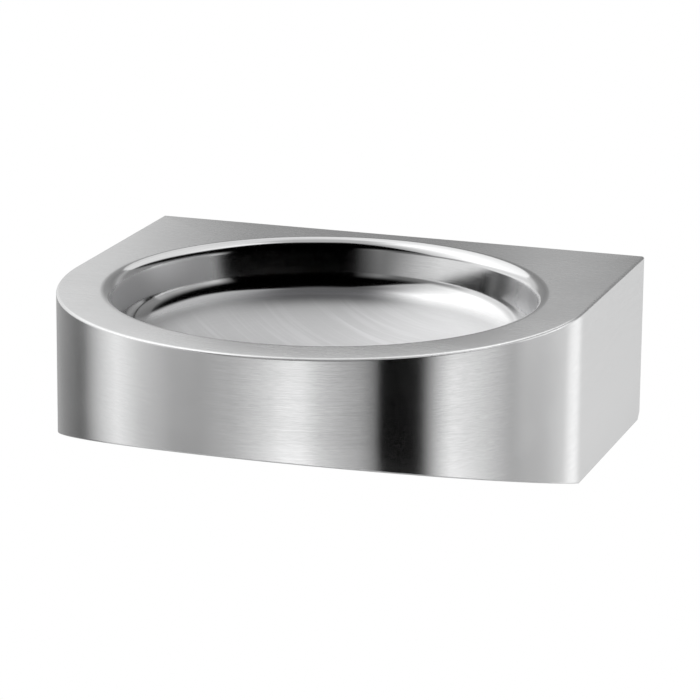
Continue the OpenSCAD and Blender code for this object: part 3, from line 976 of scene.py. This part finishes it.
def bracket_mesh(side):
    """One angle bracket, slotted from below for its stud."""
    low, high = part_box("side_brackets")[0].z / MM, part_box("side_brackets")[1].z / MM
    bracket = extruded("bracket", angle_section(BRACKET_SIDE, BRACKET_FACE, PLATE), low, high,
                       lambda a, b, z: (side * (HALF_W - SHEET - a), HANG_Y + b, z))
    x = side * STUD_X
    slot = arc((x, STUD_Z), HOLE_R, 0, 180, 20) + [(x - HOLE_R, low - 2), (x + HOLE_R, low - 2)]
    cut_out(bracket, flat_plate("slot_cutter", [slot], 12.0))
    tidy(bracket)
    return soften_edges(bracket, 0.3)


def make_brackets():
    """The two angles inside the skirt's sides, which the studs clamp."""
    pair = joined(bracket_mesh(1), bracket_mesh(-1))
    pair.name = "clamp_brackets"
    return hand_over(pair, INNER_STEEL, "basin", "side_brackets")


def make_clamps():
    """The two clamping studs with their washers and nuts, laid over to point away from the wall."""
    outwards = Matrix.Rotation(math.radians(90), 4, "X")

    def set_pair(obj, y, node):
        obj.data.transform(Matrix.Translation(Vector((0.0, y, STUD_Z)) * MM) @ outwards)
        run_tree(obj, PAIR, Apart=2 * STUD_X * MM, Finish=FIXING_STEEL)
        hand_over(obj, FIXING_STEEL, "frame", node)

    stud = threaded_stud("clamp_studs", radius=4.0, length=18.0, turns=13.0, thread_length=16.2, ridge=0.5)
    set_pair(stud, -PLATE, "frame_studs")
    washer = plain_washer("clamp_washers", outer=8.0, inner=4.2)
    set_pair(washer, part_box("stud_washers")[1].y / MM, "stud_washers")
    nut = hexagon_nut("clamp_nuts", FIXING_STEEL, None,
                      across=13.0, bore=4.05, low=0.0, high=6.5, chamfer=0.9)
    set_pair(nut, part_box("stud_nuts")[1].y / MM, "stud_nuts")


def make_earth():
    """The earthing stud on the skirt's right side, with its washer and nut."""
    root = Vector((HALF_W - SHEET, -72.0, -18.0)) * MM
    inwards = Matrix.Translation(root) @ Matrix.Rotation(math.radians(-90), 4, "Y")
    stud = threaded_stud("earth_terminal", radius=3.0, length=16.0, turns=12.0,
                         thread_length=14.0, ridge=0.42)
    stud.data.transform(inwards)
    hand_over(stud, FIXING_STEEL, "basin", "earth_stud")
    washer = plain_washer("earth_ring", outer=6.0, inner=3.2, place=inwards)
    hand_over(washer, FIXING_STEEL, "basin", "earth_washer")
    nut = hexagon_nut("earth_hexagon", FIXING_STEEL, inwards,
                      across=10.0, bore=3.05, low=1.6, high=6.6, chamfer=0.7)
    hand_over(nut, FIXING_STEEL, "basin", "earth_nut")


deck_top = make_deck()
skirt_sheet = make_skirt()
make_return()
make_bowl()
make_pad()
make_waste()
make_strainer()
make_screw()
make_seals()
make_rail()
make_frame()
make_brackets()
make_clamps()
make_earth()


# Studio

def make_camera():
    """A long lens at the photograph's place, level with its framing."""
    right = Vector((0.948766, 0.315844, 0.009285))
    up = Vector((-0.091077, 0.245213, 0.965182))
    ahead = Vector((-0.302571, 0.916577, -0.261415))
    place = Matrix((right, up, -ahead)).transposed().to_4x4()
    place.translation = Vector((0.816165, -2.589964, 0.717304))
    data = bpy.data.cameras.new("camera")
    data.sensor_width = 36.0
    data.lens = 185.525
    data.clip_end = 50.0
    camera = bpy.data.objects.new("camera", data)
    camera.matrix_world = place
    bpy.context.scene.collection.objects.link(camera)
    bpy.context.scene.camera = camera


# Light round the basin, by its azimuth in degrees from the front towards the right: below the horizon,
# at the horizon, and in a band above it
LOW_LIGHT = [(-180, 0.55), (-139, 0.38), (-122, 0.24), (-110, 0.15), (-105, 0.20), (-97, 0.60), (-90, 0.92),
             (-80, 1.25), (-66, 0.75), (-49, 0.46), (-35, 0.48), (-21, 0.70), (-8, 1.10), (2, 1.50),
             (9, 1.50), (17, 1.05), (26, 0.80), (34, 0.62), (40, 0.33), (42.5, 0.0), (60, 0.0), (63, 0.30),
             (68, 0.90), (74, 1.45), (88, 1.10), (105, 0.60), (125, 0.60), (144, 0.80), (149, 1.25),
             (157, 1.45), (162, 1.0), (168, 0.78)]
LEVEL_LIGHT = [(-180, 0.35), (-166, 0.45), (-150, 0.90), (-120, 1.15), (-49, 1.08), (-35, 0.80),
               (-24, 0.53), (-15, 0.22), (-4, 0.06), (7, 0.0), (74, 0.0), (80, 0.05), (87, 0.20),
               (92, 0.36), (104, 0.62), (112, 1.80), (135, 1.80), (150, 0.30), (170, 0.35)]
BAND_LIGHT = [(-180, 0.60), (-150, 0.90), (-75, 1.10), (-60, 0.50), (-45, 0.28), (-24, 0.18), (-12, 0.30),
              (2, 0.0), (73, 0.0), (78, 0.40), (84, 0.85), (97, 0.62), (122, 0.52), (150, 0.80),
              (180, 0.60)]
# Height in degrees of the top edge of the dark screen at the front and right, and the light above it
SCREEN_TOP = [(-180, 14), (-45, 14), (-34, 30), (-22, 52), (-10, 66), (2, 74), (60, 72), (84, 62),
              (100, 50), (115, 43), (135, 36), (152, 28), (164, 18), (178, 14)]
SKY_LIGHT = [(-180, 0.90), (-150, 1.20), (-80, 1.85), (-55, 1.15), (-40, 0.75), (-22, 0.50), (-8, 0.60),
             (12, 1.70), (60, 1.80), (85, 1.60), (110, 1.30), (145, 1.05)]
ZENITH_LIGHT = 0.65

# Light on the panel behind the basin, from its left end to its right one, by X in metres
REAR_PANEL = [(-0.60, 0.85), (-0.45, 0.80), (-0.31, 0.37), (-0.14, 0.30), (-0.07, 0.36), (-0.02, 0.52),
              (0.04, 0.48), (0.09, 0.34), (0.60, 0.32)]


def cleared(owner):
    """The empty nodes of a material or the world."""
    owner.use_nodes = True
    owner.node_tree.nodes.clear()
    return Graph(owner.node_tree)


def make_world():
    """White to the camera; to the steel, a studio with panels, a dark screen and a soft light above."""
    world = bpy.data.worlds.new("studio")
    bpy.context.scene.world = world
    graph = cleared(world)
    direction = graph.node("ShaderNodeTexCoord").output("Generated")
    x = graph.node("ShaderNodeSeparateXYZ", {0: direction})
    y, z = x.output("Y"), x.output("Z")
    azimuth = graph.maths("ARCTAN2", x, y * -1.0) / (2 * math.pi) + 0.5
    height = graph.maths("ARCSINE", z) * (180 / math.pi)

    def round_about(levels):
        return graph.ramp(azimuth, [((turn + 180) / 360, level) for turn, level in levels])

    def change(lower, upper, up, first, last):
        return graph.mix_colour(graph.between(up, first, last), lower, upper)

    light = change(round_about(LOW_LIGHT), round_about(LEVEL_LIGHT), height, -9.0, -5.0)
    light = change(light, round_about(BAND_LIGHT), height, 7.0, 10.5)
    light = change(light, (0, 0, 0, 1), height, 14.0, 31.0)
    top = round_about([(turn, degrees / 90) for turn, degrees in SCREEN_TOP]) * 90.0
    light = change(light, round_about(SKY_LIGHT), height - top, 0.0, 9.0)
    light = change(light, (ZENITH_LIGHT, ZENITH_LIGHT, ZENITH_LIGHT, 1), height, 66.0, 80.0)
    seen = graph.node("ShaderNodeLightPath").output("Is Camera Ray")
    light = graph.mix_colour(seen, light, (1, 1, 1, 1))
    lit = graph.node("ShaderNodeBackground", {"Color": light, "Strength": 1.0})
    graph.node("ShaderNodeOutputWorld", {"Surface": lit})


def make_rear_panel():
    """A panel behind the basin, bright to the left, that only the steel sees: it gives the deck its sheen."""
    left, right, low, high, back = -600.0, 600.0, 20.0, 420.0, 500.0
    corners = [(left, back, low), (right, back, low), (right, back, high), (left, back, high)]
    panel = mesh_object("rear_panel", corners, [(0, 1, 2, 3)])
    material = bpy.data.materials.new("panel light")
    graph = cleared(material)
    x = graph.node("ShaderNodeSeparateXYZ", {0: graph.node("ShaderNodeTexCoord").output("Object")})
    wide = (right - left) * MM
    level = graph.ramp((x - left * MM) / wide, [((at - left * MM) / wide, light) for at, light in REAR_PANEL])
    glow = graph.node("ShaderNodeEmission", {"Color": level})
    graph.node("ShaderNodeOutputMaterial", {"Surface": glow})
    panel.data.materials.append(material)
    panel.visible_camera = False
    panel.visible_diffuse = False


def make_piece_light(name, piece, turn, height, tall, level):
    """A soft light, at a turn and a height in degrees, for one piece that would mirror only the screen."""
    distance = 3.2
    lamp = bpy.data.lights.new(name, "AREA")
    lamp.shape = "RECTANGLE"
    lamp.size, lamp.size_y = 8.0, tall
    lamp.energy = level * math.pi * lamp.size * lamp.size_y
    light = bpy.data.objects.new(name, lamp)
    bpy.context.scene.collection.objects.link(light)
    turn, height = math.radians(turn), math.radians(height)
    out = math.cos(height)
    towards = Vector((math.sin(turn) * out, -math.cos(turn) * out, math.sin(height)))
    light.location = towards * distance
    light.rotation_euler = towards.to_track_quat("Z", "Y").to_euler()
    light.visible_camera = False
    takers = bpy.data.collections.new("lit by " + light.name)
    takers.objects.link(piece)
    light.light_linking.receiver_collection = takers


def make_floor():
    """A pale floor as far below the basin as it hangs above one."""
    steps = 96
    height = -850.0
    reach = 1000.0
    turns = [2 * math.pi * k / steps for k in range(steps)]
    verts = [(reach * math.cos(turn), reach * math.sin(turn) - STRAIGHT, height) for turn in turns]
    floor = mesh_object("floor", verts, [list(range(steps))])
    pale = Finish("pale floor")
    cloud = pale.noise(pale.metres, scale=3.0, detail=4.0)
    # Pale under the basin, and white at its rim, as the studio behind it is
    seen = pale.node("ShaderNodeLightPath").output("Is Camera Ray")
    middle = pale.node("ShaderNodeVectorMath", {0: pale.metres}, "Value", operation="LENGTH")
    rim = pale.between(middle, 0.92, 1.28)
    colour = pale.mix_colour(cloud, (0.86, 0.86, 0.86, 1), (0.90, 0.90, 0.90, 1))
    pale.shade(Base_Color=colour, Roughness=0.8,
               Emission_Color=(1, 1, 1, 1), Emission_Strength=seen * (rim * 0.25 + 0.18))
    # From below the floor isn't there, so that the underside can be seen
    under = pale.node("ShaderNodeNewGeometry").output("Backfacing")
    clear = pale.node("ShaderNodeBsdfTransparent")
    both = pale.node("ShaderNodeMixShader", {0: under, 1: Wire(pale, pale.shader.outputs[0]), 2: clear})
    pale.feed(pale.tree.nodes["Material Output"], {"Surface": both})
    floor.data.materials.append(pale.material)


make_camera()
make_world()
make_rear_panel()
make_piece_light("deck_front_light", deck_top, turn=38, height=32, tall=3.4, level=0.45)
make_piece_light("deck_side_light", deck_top, turn=115, height=32, tall=3.4, level=0.40)
make_piece_light("deck_overhead_light", deck_top, turn=38, height=80, tall=2.4, level=0.50)
make_piece_light("skirt_light", skirt_sheet, turn=38, height=58, tall=2.0, level=0.4)
make_floor()
bpy.context.scene.view_settings.view_transform = "Standard"
